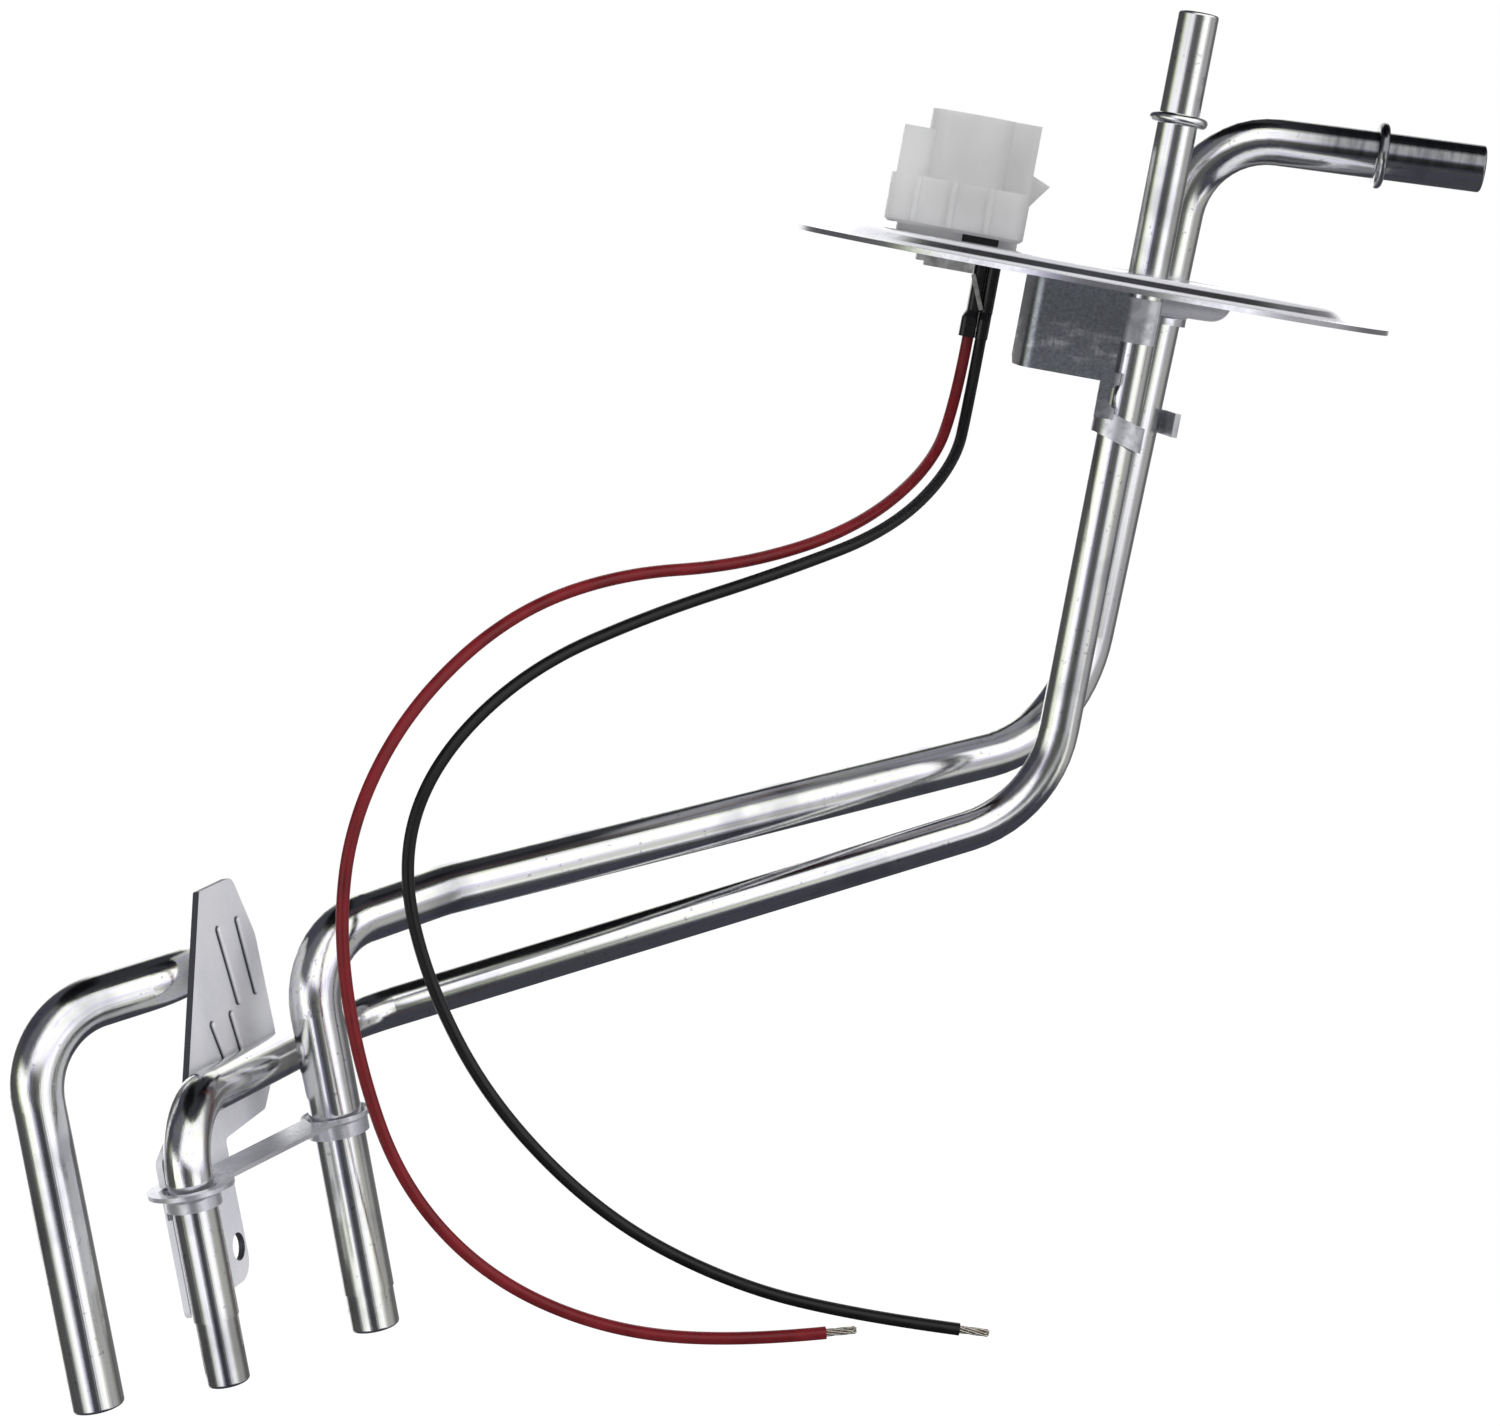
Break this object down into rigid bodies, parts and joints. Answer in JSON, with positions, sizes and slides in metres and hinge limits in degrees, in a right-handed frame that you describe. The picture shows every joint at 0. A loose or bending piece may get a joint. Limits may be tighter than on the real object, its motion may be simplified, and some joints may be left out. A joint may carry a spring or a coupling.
{
  "type": "fuel pump hanger",
  "caption": "Fuel pump hanger: round plated flange with a nylon socket, beaded fuel nipples, bent tubes down to a cradle of legs and sheet, and loose pump wires.",
  "frame": {"origin": "centre of the flange on its sealing face, the underside of the rim", "axes": "+Z out of the tank along the flange's axis, +X towards the side nipple"},
  "size_m": [0.241, 0.2015, 0.2775],
  "materials": {
    "zinc_sheet": "zinc plated sheet, satin",
    "zinc_tube": "bright zinc plated tube",
    "dark_sheet": "dark grey sheet with light scratches",
    "nylon": "natural translucent nylon",
    "seal_rubber": "black seal",
    "spring_steel": "bright",
    "contact_brass": "tinned",
    "boot_plastic": "glossy black",
    "red_insulation": "semi-gloss",
    "black_insulation": "semi-gloss",
    "tinned_strands": "tinned copper strands"
  },
  "bodies": {
    "root": {"flange_plate": "zinc_sheet", "tie_strap": "zinc_sheet", "sender_bracket": "zinc_sheet", "return_tube": "zinc_tube", "supply_tube": "zinc_tube", "side_leg_tube": "zinc_tube", "tube_bracket": "dark_sheet", "connector_housing": "nylon", "connector_seal": "seal_rubber", "retainer_plate": "spring_steel", "lock_spring": "spring_steel", "power_pin": "contact_brass", "ground_pin": "contact_brass", "power_terminal": "contact_brass", "ground_terminal": "contact_brass", "power_boot": "boot_plastic", "ground_boot": "boot_plastic", "red_wire": "red_insulation", "black_wire": "black_insulation", "red_wire_strands": "tinned_strands", "black_wire_strands": "tinned_strands"}
  },
  "joints": []
}
